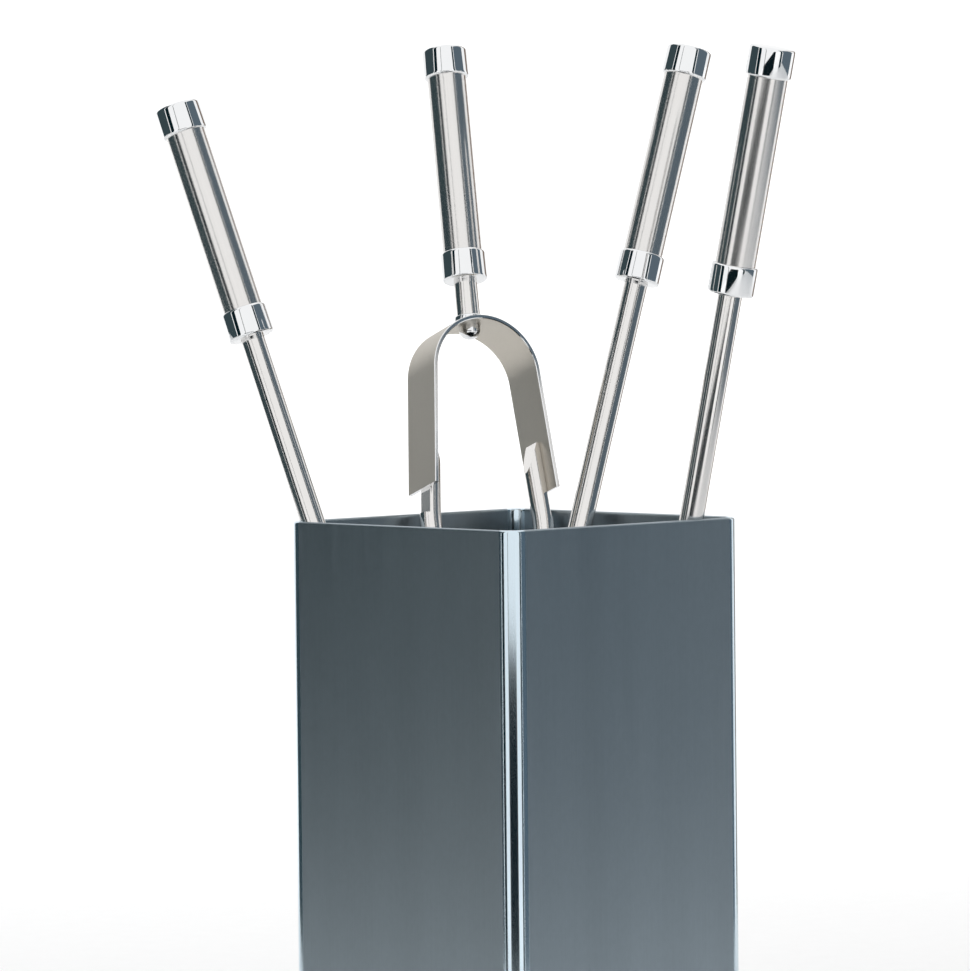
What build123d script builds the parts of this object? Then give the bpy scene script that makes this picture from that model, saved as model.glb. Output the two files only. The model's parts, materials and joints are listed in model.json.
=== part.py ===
from build123d import *
from math import cos, radians, sin, sqrt, tan
import os

# Fireplace tool set: a square steel container on glides, holding a shovel, tongs, a brush and a poker.
# Millimetres, +Z up. The origin is the centre of the container's footprint, on the floor.
# The four tools lean in the container. Their places are given along two diagonals of the square:
# "across" runs from the left corner to the right one, "away" from the front corner to the back one.

os.makedirs("parts", exist_ok=True)

# Container
side = 160.0
height = 380.0
sheet = 1.5
bend_radius = 9.0
hem_depth = 14.0
rim_round = 1.4
shell_lift = 1.0
glide_diameter = 20.0
glide_thickness = 3.0
glide_inset = 22.0
base_thickness = 2.0
mat_thickness = 3.0
mat_margin = 2.0
seam_strip_width = 24.0
seam_strip_thickness = 1.0

# Grips, the same on all four tools
rod_diameter = 12.0
tube_diameter = 20.0
tube_wall = 1.5
tube_length = 93.5
cap_diameter = 23.0
cap_length = 15.0
cap_round = 1.5
spigot_length = 8.0
stud_diameter = 8.0
stud_length = 9.0
fit = 0.05

# Shovel
pan_width = 62.0
pan_length = 78.0
pan_depth = 12.0
pan_lip = 3.0
pan_sheet = 1.5
pan_fold = 3.0
flange_width = 34.0
flange_height = 14.0
flange_thickness = 2.0
socket_diameter = 16.0
socket_length = 16.0

# Brush
brush_diameter = 27.0
bristle_length = 76.0
head_length = 22.0
bristle_depth = 8.0
neck_diameter = 17.0
neck_length = 12.0

# Poker
point_length = 26.0
point_diameter = 3.0
hook_height = 62.0
hook_reach = 26.0
hook_diameter = 9.0

# Tongs
tongs_neck_length = 19.0
collar_diameter = 15.0
collar_thickness = 3.0
nut_diameter = 11.0
nut_height = 7.0
stem_diameter = 6.0
bow_radius = 30.5
bow_flare = 5.0
bow_height = 89.0
strap_width = 30.0
strap_thickness = 2.0
leg_diameter = 11.0
leg_overlap = 26.0
leg_flat = 3.0
leg_tip = 1.5
leg_bend_radius = 60.0
leg_bend_drop = 14.0
jaw_half_gap = 23.0
jaw_length = 44.0
jaw_width = 14.0
jaw_thickness = 3.0
jaw_tip_overhang = 6.0
jaw_rise = 9.0
rivet_diameter = 4.0
rivet_head = 7.0
rivet_spacing = 18.0

# Where each tool's axis meets the mat and crosses the rim, and how high its grip ends above the rim.
# The shovel's rod rests in the left corner, so its place at the rim follows from the walls.
floor_gap = 0.3
corner_gap = 0.409
shovel_foot = (21.1232, -71.424)
tongs_foot = (17.2804, -44.8)
brush_foot = (-55.81, -14.08)
poker_foot = (21.0888, 24.468)
tongs_at = (-14.6, 66.8)
brush_at = (34.4, 56.6)
poker_at = (87.9, -10.5)
shovel_top = 206.4
tongs_top = 234.5
brush_top = 233.4
poker_top = 231.8
tongs_turn = 30.0
hook_direction = (-0.2, 1.0)

# Worked out from the sizes above
inner_side = side - 2 * sheet
base_bottom = glide_thickness
base_top = base_bottom + base_thickness
floor_top = base_top + mat_thickness
grip_length = tube_length + 2 * cap_length
mouth_corner = (inner_side / 2 - sheet - rod_diameter / 2) * sqrt(2)
shovel_at = (corner_gap - mouth_corner, 0.0)
ACROSS = Vector(1, -1, 0).normalized()
AWAY = Vector(1, 1, 0).normalized()


def lean_between(foot, at):
    """How far a tool leans per unit of height, across and away."""
    rise = height - floor_top
    return (at[0] - foot[0]) / rise, (at[1] - foot[1]) / rise


shovel_lean = lean_between(shovel_foot, shovel_at)
tongs_lean = lean_between(tongs_foot, tongs_at)
brush_lean = lean_between(brush_foot, brush_at)
poker_lean = lean_between(poker_foot, poker_at)


def tool_frame(at, lean, width_direction):
    """Frame on a tool's axis at the rim: Z up along the tool, X along its width."""
    up = (ACROSS * lean[0] + AWAY * lean[1] + Vector(0, 0, 1)).normalized()
    width = ACROSS * width_direction[0] + AWAY * width_direction[1]
    width = (width - up * width.dot(up)).normalized()
    origin = ACROSS * at[0] + AWAY * at[1] + Vector(0, 0, height)
    return Plane(origin=origin, x_dir=width, z_dir=up)


def along(lean, drop):
    """Length along a leaning tool that covers a given height."""
    return drop * sqrt(1 + lean[0] ** 2 + lean[1] ** 2)


def tilt(lean):
    """Sine of a tool's lean from upright."""
    return sqrt(1 - 1 / (1 + lean[0] ** 2 + lean[1] ** 2))


def disc(diameter, low, high):
    """Cylinder about the local Z axis between two heights."""
    return Pos(0, 0, low) * Cylinder(diameter / 2, high - low, align=(Align.CENTER, Align.CENTER, Align.MIN))


def rounded_square(width, radius, low, high):
    """Square block with round upright corners, standing on a given height."""
    return Pos(0, 0, low) * extrude(RectangleRounded(width, width, radius), high - low)


def save(node, shape, frame=None):
    """Writes one node, moved from its tool's frame into the set's frame."""
    if frame is not None:
        shape = frame.location * shape
    shape.label = node
    export_step(shape, f"parts/{node}.step")


def container():
    """Folded shell with a hemmed rim, base plate, mat, seam strip and glides."""
    inner_radius = bend_radius - sheet
    hem_width = inner_side - 2 * sheet
    outside = rounded_square(side, bend_radius, shell_lift, height)
    below_hem = rounded_square(inner_side, inner_radius, 0, height - hem_depth)
    mouth = rounded_square(hem_width, inner_radius - sheet, 0, height + 1)
    shell = outside - below_hem - mouth
    shell = fillet(shell.edges().filter_by_position(Axis.Z, height - 0.01, height + 0.01), rim_round)
    save("container_shell", shell)

    base_width = inner_side - 2 * fit
    save("base_plate", rounded_square(base_width, inner_radius, base_bottom, base_top))
    save("floor_mat", rounded_square(inner_side - 2 * mat_margin, inner_radius, base_top, floor_top))

    glide_place = side / 2 - glide_inset
    glides = [
        Pos(x, y, 0) * disc(glide_diameter, 0, glide_thickness)
        for x in (-glide_place, glide_place)
        for y in (-glide_place, glide_place)
    ]
    save("glides", Compound(children=glides))

    strip_high = height - hem_depth - 2
    strip = Box(seam_strip_thickness, seam_strip_width, strip_high - floor_top - 2)
    strip_x = -inner_side / 2 + seam_strip_thickness / 2
    save("seam_strip", Pos(strip_x, 0, (strip_high + floor_top + 2) / 2) * strip)


def grip(name, top, rod_bottom, frame):
    """Cap, tube and ferrule on the upper end of a tool, and the top of its rod."""
    tube_high = top - cap_length
    tube_low = tube_high - tube_length
    ferrule_low = tube_low - cap_length
    tube_bore = tube_diameter - 2 * tube_wall

    cap = disc(cap_diameter, tube_high, top)
    cap = fillet(cap.edges(), cap_round)
    cap = cap + disc(tube_bore - 2 * fit, tube_high - spigot_length, tube_high + 1)
    cap = cap - disc(stud_diameter + 2 * fit, tube_high - spigot_length - 1, tube_high + 1)
    save(f"{name}_top_cap", cap, frame)

    tube = disc(tube_diameter, tube_low, tube_high) - disc(tube_bore, tube_low - 1, tube_high + 1)
    save(f"{name}_grip_tube", tube, frame)

    ferrule = disc(cap_diameter, ferrule_low, tube_low)
    ferrule = fillet(ferrule.edges(), cap_round)
    ferrule = ferrule + disc(tube_bore - 2 * fit, tube_low - 1, tube_low + spigot_length)
    ferrule = ferrule - disc(rod_diameter + 2 * fit, ferrule_low - 1, tube_low + spigot_length + 1)
    save(f"{name}_ferrule", ferrule, frame)

    stud_low = tube_high - spigot_length
    return disc(rod_diameter, rod_bottom, stud_low) + disc(stud_diameter, stud_low, stud_low + stud_length)


def shovel():
    """Flat-bottomed pan with raised sides, riveted flange and socket on the rod."""
    frame = tool_frame(shovel_at, shovel_lean, (1, 1))
    foot = along(shovel_lean, height - floor_top - floor_gap) - pan_width / 2 * tilt(shovel_lean)
    lip = -foot + pan_depth / 2
    rear = lip + pan_length
    plate_y = -pan_depth / 2

    outline = Polyline((plate_y, lip), (plate_y + pan_lip, lip), (-plate_y, rear), (plate_y, rear), close=True)
    section = make_face(Plane.YZ * outline)
    block = extrude(section, pan_width / 2, both=True)
    folds = block.edges().filter_by(Axis.Z).group_by(Axis.Y)[0]
    block = fillet(folds, pan_fold)
    hollow_width = pan_width - 2 * pan_sheet
    hollow = Polyline(
        (plate_y + pan_sheet, lip - 1),
        (plate_y + 3 * pan_depth, lip - 1),
        (plate_y + 3 * pan_depth, rear - pan_sheet),
        (plate_y + pan_sheet, rear - pan_sheet),
        close=True,
    )
    cutter = extrude(make_face(Plane.YZ * hollow), hollow_width / 2, both=True)
    save("shovel_pan", block - cutter, frame)

    flange_high = rear + flange_thickness
    flange = Pos(0, 0, rear + flange_thickness / 2) * Box(flange_width, flange_height, flange_thickness)
    save("shovel_flange", flange, frame)

    socket = disc(socket_diameter, flange_high, flange_high + socket_length)
    socket = chamfer(socket.edges().group_by(Axis.Z)[-1], 1)
    socket = socket - disc(rod_diameter + 2 * fit, flange_high - 1, flange_high + socket_length + 1)
    save("shovel_socket", socket, frame)

    heads = []
    for x in (-1, 1):
        rivet_x = x * (socket_diameter + flange_width) / 4
        heads.append(Pos(rivet_x, 0, flange_high) * rivet_dome())
    save("shovel_rivets", Compound(children=heads), frame)

    save("shovel_rod", grip("shovel", along(shovel_lean, shovel_top), flange_high, frame), frame)


def rivet_dome():
    """Low round rivet head standing on the local XY plane."""
    ball = Sphere(rivet_head / 2)
    flat = Pos(0, 0, rivet_head / 2) * Box(rivet_head, rivet_head, rivet_head)
    dome = Pos(0, 0, -rivet_head / 4) * ball
    return dome & flat


def brush():
    """Round tuft of bristles set in a turned head on the rod."""
    frame = tool_frame(brush_at, brush_lean, (1, 0))
    foot = along(brush_lean, height - floor_top - floor_gap) - brush_diameter / 2 * tilt(brush_lean)
    tips = -foot
    head_low = tips + bristle_length
    head_high = head_low + head_length
    neck_high = head_high + neck_length

    head = disc(brush_diameter, head_low, head_high)
    head = fillet(head.edges().group_by(Axis.Z)[-1], 4)
    head = head + disc(neck_diameter, head_high - 1, neck_high)
    socket_depth = neck_length + head_length - bristle_depth - 3
    head = head - disc(rod_diameter + 2 * fit, neck_high - socket_depth, neck_high + 1)
    head = head - disc(brush_diameter - 4, head_low - 1, head_low + bristle_depth)
    save("brush_head", head, frame)

    tuft = disc(brush_diameter - 4 - 2 * fit, head_low - 1, head_low + bristle_depth)
    tuft = tuft + disc(brush_diameter - 1, tips, head_low - 0.5)
    save("brush_bristles", tuft, frame)

    collar = disc(neck_diameter + 2, neck_high, neck_high + 3)
    collar = collar - disc(rod_diameter + 2 * fit, neck_high - 1, neck_high + 4)
    save("brush_lock_ring", collar, frame)

    rod = grip("brush", along(brush_lean, brush_top), neck_high - socket_depth, frame)
    save("brush_rod", rod, frame)


def poker():
    """Pointed rod with a short hook."""
    frame = tool_frame(poker_at, poker_lean, hook_direction)
    tip = -along(poker_lean, height - floor_top - floor_gap) + point_diameter / 2 * tilt(poker_lean)
    shoulder = tip + point_length
    rod = grip("poker", along(poker_lean, poker_top), shoulder, frame)
    save("poker_rod", rod, frame)

    point = Pos(0, 0, (tip + shoulder) / 2) * Cone(point_diameter / 2, rod_diameter / 2, point_length)
    save("poker_point", point, frame)

    start = (0, 0, tip + hook_height)
    bend_x = hook_reach * 0.55
    path = Wire([
        Line(start, (bend_x, 0, start[2])),
        TangentArc((bend_x, 0, start[2]), (hook_reach, 0, start[2] - hook_reach + bend_x), tangent=(1, 0, 0)),
    ])
    bar = sweep(Plane(origin=start, z_dir=(1, 0, 0)) * Circle(hook_diameter / 2), path=path)
    bar = bar - disc(rod_diameter, tip, tip + 2 * hook_height)
    save("poker_hook", bar, frame)


def arch(radius):
    """Points of half the bow's outline: where the crown's arc ends, and the foot of the arm that flares outwards."""
    angle = radians(bow_flare)
    shoulder = (radius * cos(angle), -radius + radius * sin(angle))
    foot = (shoulder[0] + (shoulder[1] + bow_height) * tan(angle), -bow_height)
    return shoulder, foot


def tongs():
    """Spring bow under a short neck, with a rod leg and a jaw on each arm."""
    turn = radians(tongs_turn)
    frame = tool_frame(tongs_at, tongs_lean, (cos(turn), sin(turn)))
    top = along(tongs_lean, tongs_top)
    crown = top - grip_length - tongs_neck_length - collar_thickness
    collar_high = crown + collar_thickness

    rod = grip("tongs", top, collar_high, frame)
    stem = disc(stem_diameter, crown - strap_thickness - nut_height + 2, collar_high + 1)
    save("tongs_neck_rod", rod + stem, frame)

    collar = disc(collar_diameter, crown, collar_high)
    collar = chamfer(collar.edges().group_by(Axis.Z)[-1], 1)
    collar = collar - disc(stem_diameter + 2 * fit, crown - 1, collar_high + 1)
    save("tongs_collar", collar, frame)

    nut_high = crown - strap_thickness
    nut = disc(nut_diameter, nut_high - nut_height, nut_high)
    nut = fillet(nut.edges().group_by(Axis.Z)[0], nut_diameter / 2 - 1.5)
    nut = nut - disc(stem_diameter + 2 * fit, nut_high - nut_height + 1.5, nut_high + 1)
    save("tongs_nut", nut, frame)

    tongs_bow(crown, frame)
    for name, hand in (("left", -1), ("right", 1)):
        tongs_leg(name, hand, crown, frame)


def tongs_bow(crown, frame):
    """Strip of spring steel bent over the collar, flat on top where the nut clamps it."""
    angle = radians(bow_flare)
    outer_shoulder, outer_foot = arch(bow_radius)
    inner_shoulder = (outer_shoulder[0] - strap_thickness * cos(angle), outer_shoulder[1] - strap_thickness * sin(angle))
    inner_foot = Vector(*outer_foot) - Vector(cos(angle), sin(angle)) * strap_thickness
    edges = [
        Line((-outer_foot[0], outer_foot[1]), (-outer_shoulder[0], outer_shoulder[1])),
        ThreePointArc((-outer_shoulder[0], outer_shoulder[1]), (0, 0), outer_shoulder),
        Line(outer_shoulder, outer_foot),
        Line(outer_foot, (inner_foot.X, inner_foot.Y)),
        Line((inner_foot.X, inner_foot.Y), inner_shoulder),
        ThreePointArc(inner_shoulder, (0, -strap_thickness), (-inner_shoulder[0], inner_shoulder[1])),
        Line((-inner_shoulder[0], inner_shoulder[1]), (-inner_foot.X, inner_foot.Y)),
        Line((-inner_foot.X, inner_foot.Y), (-outer_foot[0], outer_foot[1])),
    ]
    outline = make_face(Plane.XZ * Wire(edges))
    strap = extrude(outline, strap_width / 2, both=True)
    strap = Pos(0, 0, crown) * strap
    seat = disc(collar_diameter + 1, crown - 0.35, crown + 5)
    under = disc(nut_diameter + 1, crown - 20, crown - strap_thickness)
    strap = strap - seat - disc(stem_diameter + 2 * fit, crown - 10, crown + 5)
    save("tongs_bow", strap - under, frame)


def tongs_leg(name, hand, crown, frame):
    """Rod leg under a flattened, tapered and bent tang on the bow's arm, with a riveted jaw at its foot."""
    angle = radians(bow_flare)
    _, foot = arch(bow_radius)
    arm_down = Vector(sin(angle), 0, -cos(angle))
    arm_in = Vector(-cos(angle), 0, -sin(angle))
    arm_end = Vector(foot[0], 0, crown + foot[1])
    reach = leg_diameter / 2 - leg_flat
    start = arm_end + arm_in * (strap_thickness + fit + reach) - arm_down * leg_overlap
    bend = start + arm_down * (leg_overlap + leg_bend_drop)
    end = Vector(jaw_half_gap, 0, jaw_rise - along(tongs_lean, height - floor_top - floor_gap))

    path = FilletPolyline(tuple(start), tuple(bend), tuple(end), radius=leg_bend_radius)
    leg = sweep(Plane(origin=start, z_dir=arm_down) * Circle(leg_diameter / 2), path=path)
    arm_frame = Plane(origin=start, x_dir=arm_in, z_dir=arm_down)
    long_flat = leg_overlap + leg_bend_drop
    flat_cut = Box(leg_diameter, 2 * leg_diameter, long_flat + 4)
    flat_cut = Pos(-reach - leg_diameter / 2, 0, long_flat / 2 - 3) * flat_cut
    taper = Polyline((leg_tip - reach, -1), (leg_diameter, -1), (leg_diameter, leg_overlap + 2), close=True)
    taper_cut = extrude(make_face(Plane.XZ * taper), leg_diameter, both=True)
    leg = leg - arm_frame.location * flat_cut - arm_frame.location * taper_cut

    foot_down = (end - bend).normalized()
    foot_in = Vector(foot_down.Z, 0, -foot_down.X).normalized()
    if foot_in.X > 0:
        foot_in = foot_in * -1
    jaw_frame = Plane(origin=end, x_dir=foot_in, z_dir=foot_down)
    jaw_face = leg_diameter / 2 - leg_flat
    flat_length = jaw_length - jaw_tip_overhang + 2
    foot_flat = Box(leg_diameter, 2 * leg_diameter, flat_length)
    foot_flat = Pos(jaw_face + leg_diameter / 2, 0, 1 - flat_length / 2) * foot_flat
    leg = leg - jaw_frame.location * foot_flat

    jaw = Box(jaw_thickness, jaw_width, jaw_length)
    jaw = fillet(jaw.edges().filter_by(Axis.X), 4)
    jaw = Pos(jaw_face + jaw_thickness / 2, 0, jaw_tip_overhang - jaw_length / 2) * jaw

    rivets = []
    turn_in = Rot(0, 90, 0)
    shank_low = -leg_diameter / 4
    for step in (0, 1):
        place = -8 - step * rivet_spacing
        shank = Pos(0, 0, place) * turn_in * disc(rivet_diameter, shank_low, jaw_face + jaw_thickness)
        hole = Pos(0, 0, place) * turn_in * disc(rivet_diameter + 2 * fit, shank_low, leg_diameter * 2)
        head = Pos(jaw_face + jaw_thickness, 0, place) * turn_in * rivet_dome()
        rivets.append(shank + head)
        leg = leg - jaw_frame.location * hole
        jaw = jaw - hole

    bend_reach = leg_bend_radius * tan(radians(arm_down.get_angle(foot_down)) / 2)
    weld_frame = Plane(origin=bend + foot_down * (bend_reach + 1), x_dir=foot_in, z_dir=foot_down)
    below_weld = Pos(0, 0, height / 2) * Box(4 * leg_diameter, 4 * leg_diameter, height)
    below_weld = weld_frame.location * below_weld

    shapes = {
        f"tongs_{name}_tang": leg - below_weld,
        f"tongs_{name}_leg": leg & below_weld,
        f"tongs_{name}_jaw": jaw_frame.location * jaw,
        f"tongs_{name}_rivets": Compound(children=[jaw_frame.location * rivet for rivet in rivets]),
    }
    for node, shape in shapes.items():
        if hand < 0:
            shape = mirror(shape, Plane.YZ)
        save(node, shape, frame)


container()
shovel()
brush()
poker()
tongs()
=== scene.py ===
import json
import math
import random

import bmesh
import bpy
from mathutils import Matrix, Vector
from bpy.props import FloatProperty, FloatVectorProperty, IntProperty, PointerProperty


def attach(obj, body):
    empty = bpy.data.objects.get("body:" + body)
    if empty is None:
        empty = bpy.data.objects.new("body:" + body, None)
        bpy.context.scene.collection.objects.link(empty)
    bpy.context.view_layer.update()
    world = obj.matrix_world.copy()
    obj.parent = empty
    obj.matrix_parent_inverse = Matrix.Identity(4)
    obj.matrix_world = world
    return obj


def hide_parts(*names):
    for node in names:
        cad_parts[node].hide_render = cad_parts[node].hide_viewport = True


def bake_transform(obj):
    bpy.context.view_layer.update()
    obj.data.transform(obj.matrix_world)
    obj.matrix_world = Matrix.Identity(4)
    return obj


bl_info = {
    "name": "Fireplace Tool Set",
    "version": (1, 0, 0),
    "blender": (4, 5, 0),
    "location": "3D View > Sidebar > Fire Tools",
    "description": "Builds the looks of a fireplace tool set on its CAD frame, "
    "with a studio stage and a camera",
    "category": "Add Mesh",
}

# Sizes of the CAD frame that the pieces follow, in metres
SIDE = 0.160
RIM_HEIGHT = 0.380
SHEET = 0.0015
BEND_RADIUS = 0.009
HEM_DEPTH = 0.014
RIM_ROUND = 0.0014
SHELL_LIFT = 0.001
ROD_RADIUS = 0.006
TUBE_RADIUS = 0.010
TUBE_LENGTH = 0.0935
CAP_RADIUS = 0.0115
CAP_LENGTH = 0.015
CAP_ROUND = 0.0015
NECK_LENGTH = 0.019
COLLAR_RADIUS = 0.0075
COLLAR_HEIGHT = 0.003
NUT_RADIUS = 0.0055
NUT_HEIGHT = 0.007
BOW_RADIUS = 0.0305
BOW_FLARE = math.radians(5.0)
BOW_HEIGHT = 0.089
STRAP_WIDTH = 0.030
STRAP_THICKNESS = 0.002
TONGS_TURN = math.radians(30.0)
BRUSH_RADIUS = 0.0135

ACROSS = Vector((1, -1, 0)).normalized()
AWAY = Vector((1, 1, 0)).normalized()

# Per tool: where its axis crosses the rim, its lean per unit of height, and its top above the rim
TOOLS = {
    "shovel": ((-0.1000, 0.0), (-0.3256, 0.192), 0.2064, (1, 1)),
    "tongs": ((-0.0146, 0.0668), (-0.0857, 0.300), 0.2345, (math.cos(TONGS_TURN), math.sin(TONGS_TURN))),
    "brush": ((0.0344, 0.0566), (0.2425, 0.190), 0.2334, (1, 0)),
    "poker": ((0.0879, -0.0105), (0.1796, -0.094), 0.2318, (-0.2, 1)),
}

# Camera, fitted to the container's corner-on view
CAMERA_DISTANCE = 3.4
CAMERA_RISE = math.radians(2.9)
CAMERA_PITCH = math.radians(2.62)
CAMERA_ROLL = math.radians(0.59)
CAMERA_TURN = math.radians(0.55)
CAMERA_LENS = 254.4
CAMERA_SHIFT = -0.0296

# Studio: how bright the white room is as light and as seen in metal
ROOM_LIGHT = 1.35
ROOM_REFLECTED = 1.0

# Roughness of the container's polished bends
BEND_ROUGHNESS = 0.10

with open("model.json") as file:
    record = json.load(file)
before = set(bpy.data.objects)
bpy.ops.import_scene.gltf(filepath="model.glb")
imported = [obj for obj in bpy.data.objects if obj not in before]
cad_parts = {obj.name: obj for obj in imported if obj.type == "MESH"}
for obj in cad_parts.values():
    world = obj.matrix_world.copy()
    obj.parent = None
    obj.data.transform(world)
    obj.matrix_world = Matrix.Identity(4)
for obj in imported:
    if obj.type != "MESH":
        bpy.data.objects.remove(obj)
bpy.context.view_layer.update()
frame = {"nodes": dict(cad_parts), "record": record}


# ---------------------------------------------------------------- settings


class FireToolSizes(bpy.types.PropertyGroup):
    segments: IntProperty(
        name="Round Segments", description="Sides of every turned piece", default=96, min=24
    )
    bristles: IntProperty(name="Bristles", description="Bristles in the brush", default=620, min=50)
    bristle_radius: FloatProperty(
        name="Bristle Radius", description="Radius of one bristle", default=0.00028, unit="LENGTH"
    )


class FireToolColours(bpy.types.PropertyGroup):
    sheet: FloatVectorProperty(
        name="Container Sheet", description="Brushed sheet", subtype="COLOR", default=(0.36, 0.42, 0.46)
    )
    chrome: FloatVectorProperty(
        name="Polished Metal",
        description="Caps, ferrules and collar",
        subtype="COLOR",
        default=(0.88, 0.89, 0.90),
    )
    satin: FloatVectorProperty(
        name="Satin Metal", description="Grip tubes and rods", subtype="COLOR", default=(0.80, 0.785, 0.77)
    )
    strip: FloatVectorProperty(
        name="Spring Strip", description="The tongs' bow", subtype="COLOR", default=(0.60, 0.565, 0.505)
    )
    bristle: FloatVectorProperty(
        name="Bristles", description="Brush bristles", subtype="COLOR", default=(0.035, 0.030, 0.026)
    )


# ---------------------------------------------------------------- frames and meshes


def tool_matrix(tool):
    """Frame on a tool's axis at the rim: Z up along the tool, X along its width."""
    at, lean, _, wide = TOOLS[tool]
    up = (ACROSS * lean[0] + AWAY * lean[1] + Vector((0, 0, 1))).normalized()
    width = ACROSS * wide[0] + AWAY * wide[1]
    width = (width - up * width.dot(up)).normalized()
    depth = up.cross(width)
    origin = ACROSS * at[0] + AWAY * at[1] + Vector((0, 0, RIM_HEIGHT))
    turn = Matrix((width, depth, up)).transposed().to_4x4()
    return Matrix.Translation(origin) @ turn


def along(tool, rise):
    """Length along a leaning tool that covers a given height."""
    lean = TOOLS[tool][1]
    return rise * math.sqrt(1 + lean[0] ** 2 + lean[1] ** 2)


def place_object(name, mesh, matrix, material, body):
    """Links a mesh, gives it its material and hangs it on a body."""
    piece = bpy.data.objects.new(name, mesh)
    bpy.context.collection.objects.link(piece)
    piece.matrix_world = matrix
    piece.data.materials.append(material)
    if body:
        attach(piece, body)
    return piece


def smooth(mesh, angle=35):
    """Smooth shading that keeps edges sharper than an angle."""
    for face in mesh.polygons:
        face.use_smooth = True
    mesh.set_sharp_from_angle(angle=math.radians(angle))


def rounded(profile, radius, steps=6):
    """A profile with each inner corner turned into an arc."""
    out = [profile[0]]
    for before, corner, after in zip(profile, profile[1:], profile[2:]):
        a, b, c = Vector(before), Vector(corner), Vector(after)
        reach = min(radius, (a - b).length * 0.49, (c - b).length * 0.49)
        start, end = b + (a - b).normalized() * reach, b + (c - b).normalized() * reach
        for step in range(steps + 1):
            t = step / steps
            point = start * (1 - t) ** 2 + b * 2 * t * (1 - t) + end * t ** 2
            out.append((point.x, point.y))
    out.append(profile[-1])
    return out


def lathe(name, profile, segments):
    """Closed turned mesh from (radius, height) points that run from axis to axis or round a ring."""
    work = bmesh.new()
    rings = []
    for radius, height in profile:
        if radius < 1e-7:
            rings.append([work.verts.new((0, 0, height))])
            continue
        ring = []
        for step in range(segments):
            turn = 2 * math.pi * step / segments
            ring.append(work.verts.new((radius * math.cos(turn), radius * math.sin(turn), height)))
        rings.append(ring)
    pairs = list(zip(rings, rings[1:]))
    if len(rings[0]) > 1:
        pairs.append((rings[-1], rings[0]))
    for low, high in pairs:
        for step in range(segments):
            after = (step + 1) % segments
            corners = [low[step % len(low)], low[after % len(low)]]
            corners += [high[after % len(high)], high[step % len(high)]]
            unique = list(dict.fromkeys(corners))
            if len(unique) > 2:
                work.faces.new(unique)
    bmesh.ops.recalc_face_normals(work, faces=work.faces)
    mesh = bpy.data.meshes.new(name)
    work.to_mesh(mesh)
    work.free()
    smooth(mesh)
    return mesh


def tube_along(work, points, radii, sides):
    """Adds a tube through points to a mesh in work, with a radius at each point and both ends closed."""
    rings = []
    count = len(points)
    reference = Vector((0.31, 0.87, 0.12)).normalized()
    for index, point in enumerate(points):
        ahead = points[min(index + 1, count - 1)] - points[max(index - 1, 0)]
        ahead.normalize()
        side = ahead.cross(reference).normalized()
        other = ahead.cross(side)
        ring = []
        for step in range(sides):
            turn = 2 * math.pi * step / sides
            outward = side * math.cos(turn) + other * math.sin(turn)
            ring.append(work.verts.new(point + outward * radii[index]))
        rings.append(ring)
    for low, high in zip(rings, rings[1:]):
        for step in range(sides):
            after = (step + 1) % sides
            work.faces.new((low[step], low[after], high[after], high[step]))
    work.faces.new(rings[0])
    work.faces.new(list(reversed(rings[-1])))


# ---------------------------------------------------------------- materials


class Shader:
    """Short hand for building one node material."""

    def __init__(self, name):
        self.material = bpy.data.materials.new(name)
        self.material.use_nodes = True
        self.tree = self.material.node_tree
        self.tree.nodes.clear()
        self.output = self.add("ShaderNodeOutputMaterial")
        self.surface = self.add("ShaderNodeBsdfPrincipled")
        self.join(self.surface, "BSDF", self.output, "Surface")
        self.place = self.add("ShaderNodeTexCoord")

    def add(self, kind, **values):
        node = self.tree.nodes.new(kind)
        for key, value in values.items():
            setattr(node, key, value)
        return node

    def join(self, source, out, target, into):
        self.tree.links.new(source.outputs[out], target.inputs[into])

    def stretched(self, scale):
        """Object coordinates scaled apart along X, Y and Z."""
        mapping = self.add("ShaderNodeMapping")
        mapping.inputs["Scale"].default_value = scale
        self.join(self.place, "Object", mapping, "Vector")
        return mapping

    def noise(self, scale, detail=4.0, rough=0.55):
        node = self.add("ShaderNodeTexNoise")
        node.inputs["Scale"].default_value = 1.0
        node.inputs["Detail"].default_value = detail
        node.inputs["Roughness"].default_value = rough
        self.join(self.stretched(scale), "Vector", node, "Vector")
        return node

    def spread(self, source, out, low, high, into):
        """Maps a 0 to 1 value to a range and feeds it to the surface."""
        node = self.add("ShaderNodeMapRange")
        node.inputs["From Min"].default_value = 0.25
        node.inputs["From Max"].default_value = 0.75
        node.inputs["To Min"].default_value = low
        node.inputs["To Max"].default_value = high
        self.join(source, out, node, "Value")
        if into:
            self.join(node, "Result", self.surface, into)
        return node

    def tinted(self, source, out, dark, light):
        """Colour that runs from dark to light with a value."""
        ramp = self.add("ShaderNodeMix", data_type="RGBA")
        ramp.inputs[6].default_value = (*dark, 1)
        ramp.inputs[7].default_value = (*light, 1)
        self.tree.links.new(source.outputs[out], ramp.inputs[0])
        self.tree.links.new(ramp.outputs[2], self.surface.inputs["Base Color"])
        return ramp

    def bend_mask(self):
        """One on the container's upright bends, nought on its flat faces."""
        parts = self.add("ShaderNodeSeparateXYZ")
        self.join(self.place, "Object", parts, "Vector")
        nearer = self.add("ShaderNodeMath", operation="MINIMUM")
        for slot, axis in enumerate("XY"):
            size = self.add("ShaderNodeMath", operation="ABSOLUTE")
            self.join(parts, axis, size, 0)
            self.join(size, "Value", nearer, slot)
        mask = self.add("ShaderNodeMapRange")
        mask.inputs["From Min"].default_value = SIDE / 2 - BEND_RADIUS - 0.0004
        mask.inputs["From Max"].default_value = SIDE / 2 - BEND_RADIUS + 0.0006
        self.join(nearer, "Value", mask, "Value")
        return mask

    def bump(self, source, out, strength, distance):
        node = self.add("ShaderNodeBump")
        node.inputs["Strength"].default_value = strength
        node.inputs["Distance"].default_value = distance
        self.join(source, out, node, "Height")
        self.join(node, "Normal", self.surface, "Normal")
        return node


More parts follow.
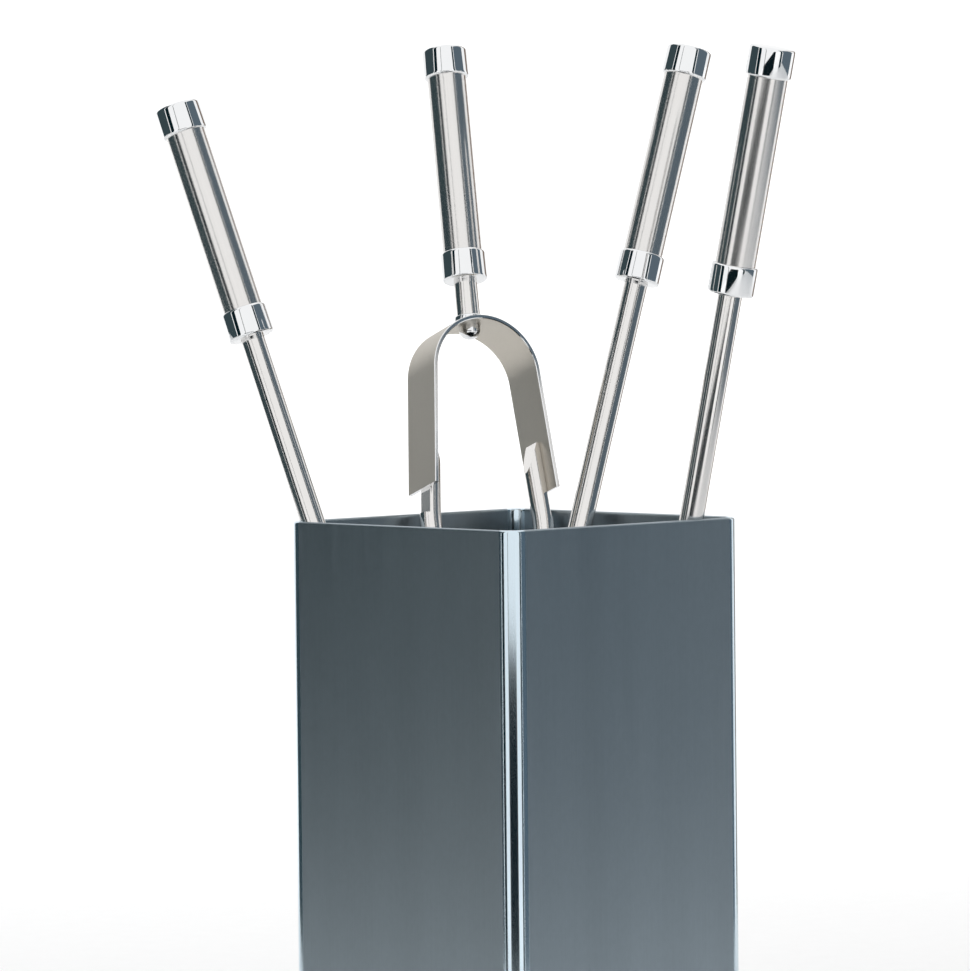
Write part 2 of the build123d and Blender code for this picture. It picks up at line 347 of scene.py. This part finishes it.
def shade(colour, factor):
    """A colour made lighter or darker."""
    return tuple(min(1.0, part * factor) for part in colour)


def metal(name, colour, grain, rough, strength=0.12, contrast=0.08, anisotropic=0.0, distance=0.00002):
    """Metal with a stretched grain, uneven roughness and faint smears."""
    look = Shader(name)
    look.surface.inputs["Metallic"].default_value = 1.0
    look.surface.inputs["Anisotropic"].default_value = anisotropic
    fine = look.noise(grain)
    smear = look.noise((38, 38, 26), 5.0, 0.6)
    look.tinted(fine, "Fac", shade(colour, 1 - contrast), shade(colour, 1 + contrast))
    wear = look.add("ShaderNodeMath", operation="ADD")
    half = look.add("ShaderNodeMath", operation="MULTIPLY")
    half.inputs[1].default_value = 0.5
    look.join(fine, "Fac", wear, 0)
    look.join(smear, "Fac", wear, 1)
    look.join(wear, "Value", half, 0)
    look.spread(half, "Value", rough * 0.8, rough * 1.25, "Roughness")
    look.bump(fine, "Fac", strength, distance)
    return look.material


def brushed_sheet(colour):
    """Dark stainless sheet, brushed upright, with soft bands and fine mottling, and a painted highlight on
    its upright bends.
    """
    look = Shader("brushed_sheet")
    look.surface.inputs["Metallic"].default_value = 1.0
    look.surface.inputs["Anisotropic"].default_value = 0.35
    line = look.noise((1500, 1500, 9), 6.0, 0.7)
    band = look.noise((26, 26, 1.2), 3.0, 0.5)
    mottle = look.noise((420, 420, 260), 3.0, 0.6)
    total = look.add("ShaderNodeMath", operation="MULTIPLY_ADD")
    total.inputs[1].default_value = 0.45
    scaled = look.add("ShaderNodeMath", operation="MULTIPLY")
    scaled.inputs[1].default_value = 0.35
    look.join(line, "Fac", scaled, 0)
    look.join(band, "Fac", total, 0)
    look.join(scaled, "Value", total, 2)
    mixed = look.add("ShaderNodeMath", operation="MULTIPLY_ADD")
    mixed.inputs[1].default_value = 0.2
    look.join(mottle, "Fac", mixed, 0)
    look.join(total, "Value", mixed, 2)
    tint = look.tinted(mixed, "Value", shade(colour, 0.72), shade(colour, 1.28))
    look.bump(line, "Fac", 0.10, 0.00002)
    rough = look.spread(line, "Fac", 0.30, 0.42, None)
    bend = look.bend_mask()
    polish = look.add("ShaderNodeMix", data_type="FLOAT")
    polish.inputs["B"].default_value = BEND_ROUGHNESS
    look.join(bend, "Result", polish, "Factor")
    look.join(rough, "Result", polish, "A")
    look.join(polish, "Result", look.surface, "Roughness")
    # Painted highlight: the base colour on the upright bends is 1.9 times lighter than on the flat faces.
    painted_bend_highlight = look.add("ShaderNodeMix", data_type="RGBA")
    painted_bend_highlight.inputs[7].default_value = (*shade(colour, 1.9), 1)
    look.join(bend, "Result", painted_bend_highlight, "Factor")
    look.tree.links.new(tint.outputs[2], painted_bend_highlight.inputs[6])
    look.tree.links.new(painted_bend_highlight.outputs[2], look.surface.inputs["Base Color"])
    return look.material


def rubber(name, colour):
    """Matt rubber with a fine pebble."""
    look = Shader(name)
    pebble = look.noise((2200, 2200, 2200), 3.0)
    look.tinted(pebble, "Fac", shade(colour, 0.7), shade(colour, 1.4))
    look.spread(pebble, "Fac", 0.62, 0.85, "Roughness")
    look.bump(pebble, "Fac", 0.35, 0.0001)
    return look.material


def bristle_look(colour):
    """Dark bristle with paler streaks along its length, a painted sheen."""
    look = Shader("bristle")
    sheen_streak = look.noise((900, 900, 40), 4.0)
    # Painted sheen: noise streaks along the bristles lift their colour up to 2.4 times.
    look.tinted(sheen_streak, "Fac", shade(colour, 0.5), shade(colour, 2.4))
    look.spread(sheen_streak, "Fac", 0.38, 0.6, "Roughness")
    return look.material


MADE = {}


def look_of(slot):
    """Material of one of the record's slots, made once."""
    if slot in MADE:
        return MADE[slot]
    colours = bpy.context.scene.fire_tool_colours
    chrome, satin, strip = tuple(colours.chrome), tuple(colours.satin), tuple(colours.strip)
    if slot == "brushed_sheet":
        made = brushed_sheet(tuple(colours.sheet))
    elif slot == "polished":
        made = metal("polished", chrome, (160, 160, 160), 0.045, 0.01, 0.015)
    elif slot == "satin_tube":
        made = metal("satin_tube", satin, (1700, 1700, 14), 0.17, 0.04, 0.05)
    elif slot == "rod":
        made = metal("rod", shade(satin, 1.02), (1900, 1900, 18), 0.13, 0.03, 0.05)
    elif slot == "spring_strip":
        made = metal("spring_strip", strip, (900, 900, 900), 0.42, 0.10, 0.07)
    elif slot == "strip_edge":
        made = metal("strip_edge", shade(chrome, 0.98), (900, 900, 40), 0.12, 0.05, 0.03)
    elif slot == "pan_sheet":
        made = metal("pan_sheet", shade(satin, 0.85), (1200, 30, 30), 0.30, 0.12, 0.1, 0.3)
    elif slot == "base_sheet":
        made = metal("base_sheet", shade(satin, 0.7), (300, 300, 300), 0.38, 0.1, 0.1)
    elif slot == "rivet":
        made = metal("rivet", shade(satin, 1.05), (500, 500, 500), 0.25, 0.1, 0.08)
    elif slot == "bristle":
        made = bristle_look(tuple(colours.bristle))
    else:
        made = rubber(slot, (0.030, 0.030, 0.032))
    MADE[slot] = made
    return made


# ---------------------------------------------------------------- pieces


class FIRETOOLS_OT_finish(bpy.types.Operator):
    """Gives every CAD node the material of its slot"""

    bl_idname = "firetools.finish_nodes"
    bl_label = "Finish CAD Nodes"

    def execute(self, context):
        for subpart in frame["record"]["subparts"]:
            node = frame["nodes"][subpart["node"]]
            node.data.materials.clear()
            node.data.materials.append(look_of(subpart["material_slot"]))
            smooth(node.data, 30)
        return {"FINISHED"}


def square_ring(half, radius, height, steps=10):
    """Points round a square with round corners, at one height."""
    points = []
    for quarter in range(4):
        centre_turn = math.pi / 4 + quarter * math.pi / 2
        reach = (half - radius) * math.sqrt(2)
        centre = Vector((math.cos(centre_turn), math.sin(centre_turn), 0)) * reach
        for step in range(steps + 1):
            turn = quarter * math.pi / 2 + step / steps * math.pi / 2
            edge = Vector((math.cos(turn), math.sin(turn), 0)) * radius
            points.append(centre + edge + Vector((0, 0, height)))
    return points


class FIRETOOLS_OT_container(bpy.types.Operator):
    """Folds the container's shell, with its hemmed and rounded rim"""

    bl_idname = "firetools.container"
    bl_label = "Container Shell"

    def execute(self, context):
        half = SIDE / 2
        inner = half - SHEET
        mouth = inner - SHEET
        r = RIM_ROUND
        section = [(half, SHELL_LIFT + 0.0004), (half, RIM_HEIGHT - r)]
        for step in range(1, 6):
            turn = step / 6 * math.pi / 2
            section.append((half - r + r * math.cos(turn), RIM_HEIGHT - r + r * math.sin(turn)))
        section.append((half - r, RIM_HEIGHT))
        for step in range(6):
            turn = math.pi / 2 + step / 6 * math.pi / 2
            section.append((mouth + r + r * math.cos(turn), RIM_HEIGHT - r + r * math.sin(turn)))
        section += [
            (mouth, RIM_HEIGHT - r),
            (mouth, RIM_HEIGHT - HEM_DEPTH),
            (inner, RIM_HEIGHT - HEM_DEPTH),
            (inner, SHELL_LIFT),
            (half - 0.0004, SHELL_LIFT),
        ]
        work = bmesh.new()
        rings = []
        for reach, height in section:
            radius = max(BEND_RADIUS - (half - reach), 0.001)
            rings.append([work.verts.new(p) for p in square_ring(reach, radius, height)])
        for low, high in zip(rings, rings[1:] + rings[:1]):
            count = len(low)
            for step in range(count):
                after = (step + 1) % count
                work.faces.new((low[step], low[after], high[after], high[step]))
        bmesh.ops.recalc_face_normals(work, faces=work.faces)
        mesh = bpy.data.meshes.new("shell")
        work.to_mesh(mesh)
        work.free()
        smooth(mesh, 40)
        shell = place_object("shell", mesh, Matrix.Identity(4), look_of("brushed_sheet"), "container")
        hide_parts("container_shell")
        return {"FINISHED"}


class FIRETOOLS_OT_grips(bpy.types.Operator):
    """Turns the cap, tube and ferrule of each tool"""

    bl_idname = "firetools.grips"
    bl_label = "Grips"

    def execute(self, context):
        segments = context.scene.fire_tool_sizes.segments
        for tool in TOOLS:
            matrix = tool_matrix(tool)
            top = along(tool, TOOLS[tool][2])
            high = top - CAP_LENGTH
            low = high - TUBE_LENGTH
            cap = [(0, high), (CAP_RADIUS, high), (CAP_RADIUS, top), (0, top)]
            ferrule_low = low - CAP_LENGTH
            ferrule = [(0, ferrule_low), (CAP_RADIUS, ferrule_low), (CAP_RADIUS, low), (0, low)]
            tube = [(0, low), (TUBE_RADIUS, low), (TUBE_RADIUS, high), (0, high)]
            parts = (
                ("top_cap", rounded(cap, CAP_ROUND), "polished"),
                ("ferrule", rounded(ferrule, CAP_ROUND), "polished"),
                ("grip_tube", tube, "satin_tube"),
            )
            for part, profile, slot in parts:
                mesh = lathe(f"{tool}_{part}_look", profile, segments)
                piece = place_object(f"{tool}_{part}_look", mesh, matrix, look_of(slot), tool)
                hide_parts(f"{tool}_{part}")
        return {"FINISHED"}


class FIRETOOLS_OT_rods(bpy.types.Operator):
    """Draws the round bar of the shovel, brush and poker, and the neck, collar and nut of the tongs"""

    bl_idname = "firetools.rods"
    bl_label = "Rods and Neck"

    def execute(self, context):
        segments = context.scene.fire_tool_sizes.segments
        for tool in ("shovel", "brush", "poker"):
            matrix = tool_matrix(tool)
            low_corner, high_corner = rod_span(f"{tool}_rod", matrix)
            profile = [(0, low_corner), (ROD_RADIUS, low_corner), (ROD_RADIUS, high_corner), (0, high_corner)]
            mesh = lathe(f"{tool}_bar", rounded(profile, 0.0002, 2), segments)
            piece = place_object(f"{tool}_bar", mesh, matrix, look_of("rod"), tool)
            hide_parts(f"{tool}_rod")
        self.neck(segments)
        return {"FINISHED"}

    def neck(self, segments):
        matrix = tool_matrix("tongs")
        ferrule_low = along("tongs", TOOLS["tongs"][2]) - TUBE_LENGTH - 2 * CAP_LENGTH
        collar_high = ferrule_low - NECK_LENGTH
        crown = collar_high - COLLAR_HEIGHT
        neck_high = ferrule_low + 0.01
        neck = [(0, collar_high), (ROD_RADIUS, collar_high), (ROD_RADIUS, neck_high), (0, neck_high)]
        collar = [(0, crown), (COLLAR_RADIUS, crown), (COLLAR_RADIUS, collar_high), (0, collar_high)]
        nut_high = crown - STRAP_THICKNESS
        nut = [(0, nut_high - NUT_HEIGHT)]
        for step in range(1, 9):
            turn = step / 8 * math.pi / 2
            nut.append((NUT_RADIUS * math.sin(turn), nut_high - NUT_HEIGHT + 0.0045 * (1 - math.cos(turn))))
        nut += [(NUT_RADIUS, nut_high), (0, nut_high)]
        parts = (
            ("neck_bar", rounded(neck, 0.0002, 2), "rod", "tongs_neck_rod"),
            ("collar_ring", rounded(collar, 0.0009), "polished", "tongs_collar"),
            ("dome_nut", nut, "polished", "tongs_nut"),
        )
        for name, profile, slot, node in parts:
            piece = place_object(name, lathe(name, profile, segments), matrix, look_of(slot), "tongs")
            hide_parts(node)


def rod_span(node, matrix):
    """Lowest and highest place of a CAD node along its tool's axis."""
    inverse = matrix.inverted()
    heights = [(inverse @ vertex.co).z for vertex in frame["nodes"][node].data.vertices]
    return min(heights), max(heights)


class FIRETOOLS_OT_bow(bpy.types.Operator):
    """Bends the tongs' spring strip in two halves that follow the legs"""

    bl_idname = "firetools.bow"
    bl_label = "Tongs Bow"

    def execute(self, context):
        matrix = tool_matrix("tongs")
        crown = along("tongs", TOOLS["tongs"][2]) - TUBE_LENGTH - 2 * CAP_LENGTH - NECK_LENGTH - COLLAR_HEIGHT
        for name, hand in (("left", -1), ("right", 1)):
            mesh = self.half(f"bow_{name}", hand, crown)
            piece = place_object(f"bow_{name}", mesh, matrix, look_of("spring_strip"), None)
            piece.data.materials.append(look_of("strip_edge"))
            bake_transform(piece)
            if hand < 0:
                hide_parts("tongs_bow")
        return {"FINISHED"}

    def outline(self, hand):
        """Middle line of one half of the strip, with its outward direction."""
        line = []
        middle = BOW_RADIUS - STRAP_THICKNESS / 2
        sweep = math.pi / 2 - BOW_FLARE
        steps = 36
        for step in range(steps + 1):
            turn = sweep * step / steps
            out = Vector((math.sin(turn) * hand, 0, math.cos(turn)))
            line.append((Vector((0, 0, -BOW_RADIUS)) + out * middle, out))
        point, out = line[-1]
        down = Vector((math.sin(BOW_FLARE) * hand, 0, -math.cos(BOW_FLARE)))
        arm = (BOW_HEIGHT + point.z) / math.cos(BOW_FLARE)
        for step in range(1, 25):
            line.append((point + down * arm * step / 24, out))
        return line

    def half(self, name, hand, crown):
        work = bmesh.new()
        half_width, half_thick, soft = STRAP_WIDTH / 2, STRAP_THICKNESS / 2, 0.00035
        section = [
            (half_width - soft, half_thick), (half_width, half_thick - soft),
            (half_width, -half_thick + soft), (half_width - soft, -half_thick),
            (-half_width + soft, -half_thick), (-half_width, -half_thick + soft),
            (-half_width, half_thick - soft), (-half_width + soft, half_thick),
        ]
        rings = []
        for point, out in self.outline(hand):
            base = point + Vector((0, 0, crown))
            rings.append([work.verts.new(base + out * rise + Vector((0, wide, 0))) for wide, rise in section])
        for low, high in zip(rings, rings[1:]):
            for step in range(8):
                after = (step + 1) % 8
                face = work.faces.new((low[step], low[after], high[after], high[step]))
                face.material_index = 0 if step in (3, 7) else 1
        cap = work.faces.new(rings[-1])
        cap.material_index = 1
        inner = work.faces.new(list(reversed(rings[0])))
        inner.material_index = 0
        bmesh.ops.recalc_face_normals(work, faces=work.faces)
        mesh = bpy.data.meshes.new(name)
        work.to_mesh(mesh)
        work.free()
        smooth(mesh, 25)
        return mesh


# Bristles: steps along each, sides round it, how much thinner its tip is, and the seed of the draws
BRISTLE_STEPS = 6
BRISTLE_SIDES = 4
BRISTLE_TAPER = 0.45
BRISTLE_SEED = 7


class FIRETOOLS_OT_bristles(bpy.types.Operator):
    """Plants the brush's bristles"""

    bl_idname = "firetools.bristles"
    bl_label = "Brush Bristles"

    def execute(self, context):
        sizes = context.scene.fire_tool_sizes
        matrix = tool_matrix("brush")
        low, high = rod_span("brush_bristles", matrix)
        dice = random.Random(BRISTLE_SEED)
        work = bmesh.new()
        golden = math.pi * (3 - math.sqrt(5))
        for index in range(sizes.bristles):
            share = (index + 0.5) / sizes.bristles
            reach, turn = BRUSH_RADIUS * 0.83 * math.sqrt(share), index * golden
            root = Vector((reach * math.cos(turn), reach * math.sin(turn), high - 0.002))
            spread = 1.0 + 0.12 * dice.random()
            bend = Vector((dice.uniform(-1, 1), dice.uniform(-1, 1), 0)) * 0.0007
            foot = low + 0.0008 + 0.0016 * dice.random()
            points = []
            for step in range(BRISTLE_STEPS + 1):
                t = step / BRISTLE_STEPS
                outward = 1 + (spread - 1) * t * t
                place = Vector((root.x * outward, root.y * outward, high + (foot - high) * t))
                points.append(place + bend * math.sin(t * math.pi))
            radii = [
                sizes.bristle_radius * (1 - BRISTLE_TAPER * step / BRISTLE_STEPS)
                for step in range(BRISTLE_STEPS + 1)
            ]
            tube_along(work, points, radii, BRISTLE_SIDES)
        bmesh.ops.recalc_face_normals(work, faces=work.faces)
        mesh = bpy.data.meshes.new("bristle_tuft")
        work.to_mesh(mesh)
        work.free()
        smooth(mesh, 60)
        tuft = place_object("bristle_tuft", mesh, matrix, look_of("bristle"), "brush")
        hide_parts("brush_bristles")
        return {"FINISHED"}


# ---------------------------------------------------------------- stage


def card(name, centre, facing, width, height, colour):
    """Upright card of one flat colour that faces a point and that the camera doesn't see."""
    mesh = bpy.data.meshes.new(name)
    corners = [(-width / 2, -height / 2, 0), (width / 2, -height / 2, 0)]
    corners += [(width / 2, height / 2, 0), (-width / 2, height / 2, 0)]
    mesh.from_pydata(corners, [], [(0, 1, 2, 3)])
    material = bpy.data.materials.new(name)
    material.use_nodes = True
    tree = material.node_tree
    tree.nodes.clear()
    output = tree.nodes.new("ShaderNodeOutputMaterial")
    glow = tree.nodes.new("ShaderNodeEmission")
    glow.inputs["Color"].default_value = (*colour, 1)
    glow.inputs["Strength"].default_value = 1.0
    tree.links.new(glow.outputs["Emission"], output.inputs["Surface"])
    piece = bpy.data.objects.new(name, mesh)
    bpy.context.collection.objects.link(piece)
    piece.data.materials.append(material)
    direction = (Vector(facing) - Vector(centre)).normalized()
    piece.matrix_world = Matrix.Translation(centre) @ direction.to_track_quat("Z", "Y").to_matrix().to_4x4()
    piece.visible_camera = False


def studio(across, away, height):
    """A place in the studio, given along the camera's own directions."""
    return ACROSS * across + AWAY * away + Vector((0, 0, height))


# Half the floor's side, in metres
FLOOR_REACH = 6.0

# Dark and grey flags round the set: angle from the camera, width, middle height, height and colour
FLAG_REACH = 2.2
FLAGS = (
    ("flag_left", -100, 2.40, 1.0, 3.6, (0.040, 0.062, 0.070)),
    ("flag_left_near", -60, 0.62, 1.0, 3.6, (0.003, 0.012, 0.016)),
    ("flag_left_stripe", -28, 0.10, 1.0, 3.6, (0.16, 0.17, 0.17)),
    ("flag_right", 82, 2.30, 1.0, 3.6, (0.105, 0.140, 0.170)),
    ("flag_right_near", 47, 0.36, 1.0, 3.6, (0.010, 0.028, 0.036)),
    ("flag_behind_right", 140, 0.70, 1.0, 3.6, (0.22, 0.17, 0.14)),
    ("flag_low_front", -6, 2.00, 0.21, 0.40, (0.004, 0.010, 0.013)),
)


class FIRETOOLS_OT_stage(bpy.types.Operator):
    """Pale floor, white surroundings, soft light, dark flags and the camera"""

    bl_idname = "firetools.stage"
    bl_label = "Stage and Camera"

    def execute(self, context):
        scene = context.scene
        scene.view_settings.view_transform = "Standard"
        self.surroundings(scene)
        self.floor()
        self.cards()
        self.camera(scene)
        return {"FINISHED"}

    def surroundings(self, scene):
        world = scene.world or bpy.data.worlds.new("studio")
        scene.world = world
        world.use_nodes = True
        tree = world.node_tree
        tree.nodes.clear()
        output = tree.nodes.new("ShaderNodeOutputWorld")
        mix = tree.nodes.new("ShaderNodeMixShader")
        path = tree.nodes.new("ShaderNodeLightPath")
        tree.links.new(path.outputs["Is Glossy Ray"], mix.inputs["Fac"])
        for slot, strength in ((1, ROOM_LIGHT), (2, ROOM_REFLECTED)):
            light = tree.nodes.new("ShaderNodeBackground")
            light.inputs["Color"].default_value = (1, 1, 1, 1)
            light.inputs["Strength"].default_value = strength
            tree.links.new(light.outputs["Background"], mix.inputs[slot])
        tree.links.new(mix.outputs["Shader"], output.inputs["Surface"])

    def floor(self):
        mesh = bpy.data.meshes.new("floor")
        corners = [(-FLOOR_REACH, -FLOOR_REACH, 0), (FLOOR_REACH, -FLOOR_REACH, 0)]
        corners += [(FLOOR_REACH, FLOOR_REACH, 0), (-FLOOR_REACH, FLOOR_REACH, 0)]
        mesh.from_pydata(corners, [], [(0, 1, 2, 3)])
        look = Shader("floor")
        grain = look.noise((60, 60, 60), 3.0)
        look.tinted(grain, "Fac", (0.87, 0.87, 0.87), (0.90, 0.90, 0.90))
        look.surface.inputs["Roughness"].default_value = 0.8
        floor = bpy.data.objects.new("floor", mesh)
        bpy.context.collection.objects.link(floor)
        floor.data.materials.append(look.material)

    def cards(self):
        for name, turn, width, rise, height, colour in FLAGS:
            angle = math.radians(turn)
            place = studio(FLAG_REACH * math.sin(angle), -FLAG_REACH * math.cos(angle), rise)
            card(name, place, studio(0, 0, rise), width, height, colour)

    def camera(self, scene):
        data = bpy.data.cameras.new("camera")
        data.sensor_fit = "HORIZONTAL"
        data.sensor_width = 36.0
        data.lens = CAMERA_LENS
        data.shift_x = CAMERA_SHIFT
        camera = bpy.data.objects.new("camera", data)
        scene.collection.objects.link(camera)
        turned = Matrix.Rotation(CAMERA_TURN, 4, "Z")
        away = (turned @ AWAY).normalized()
        across = (turned @ ACROSS).normalized()
        target = Vector((0, 0, RIM_HEIGHT))
        camera.location = target - away * CAMERA_DISTANCE * math.cos(CAMERA_RISE)
        camera.location.z += CAMERA_DISTANCE * math.sin(CAMERA_RISE)
        forward = away * math.cos(CAMERA_PITCH) - Vector((0, 0, 1)) * math.sin(CAMERA_PITCH)
        up = across.cross(forward)
        turn = Matrix((across, up, -forward)).transposed()
        roll = Matrix.Rotation(-CAMERA_ROLL, 3, "Z")
        camera.matrix_world = Matrix.Translation(camera.location) @ (turn @ roll).to_4x4()
        scene.camera = camera


# ---------------------------------------------------------------- panel and registration


class FIRETOOLS_PT_panel(bpy.types.Panel):
    """Sizes, colours and build buttons"""

    bl_idname = "FIRETOOLS_PT_panel"
    bl_label = "Fire Tools"
    bl_space_type = "VIEW_3D"
    bl_region_type = "UI"
    bl_category = "Fire Tools"

    def draw(self, context):
        column = self.layout.column()
        for group in (context.scene.fire_tool_sizes, context.scene.fire_tool_colours):
            for name in group.__annotations__:
                column.prop(group, name)
        for operator in OPERATORS:
            column.operator(operator.bl_idname)


OPERATORS = (
    FIRETOOLS_OT_finish,
    FIRETOOLS_OT_container,
    FIRETOOLS_OT_grips,
    FIRETOOLS_OT_rods,
    FIRETOOLS_OT_bow,
    FIRETOOLS_OT_bristles,
    FIRETOOLS_OT_stage,
)
CLASSES = (FireToolSizes, FireToolColours, *OPERATORS, FIRETOOLS_PT_panel)


def register():
    for item in CLASSES:
        bpy.utils.register_class(item)
    bpy.types.Scene.fire_tool_sizes = PointerProperty(type=FireToolSizes)
    bpy.types.Scene.fire_tool_colours = PointerProperty(type=FireToolColours)


def unregister():
    del bpy.types.Scene.fire_tool_colours
    del bpy.types.Scene.fire_tool_sizes
    for item in reversed(CLASSES):
        bpy.utils.unregister_class(item)


def main():
    register()
    bpy.ops.firetools.finish_nodes()
    bpy.ops.firetools.container()
    bpy.ops.firetools.grips()
    bpy.ops.firetools.rods()
    bpy.ops.firetools.bow()
    bpy.ops.firetools.bristles()
    bpy.ops.firetools.stage()


if __name__ == "__main__":
    main()
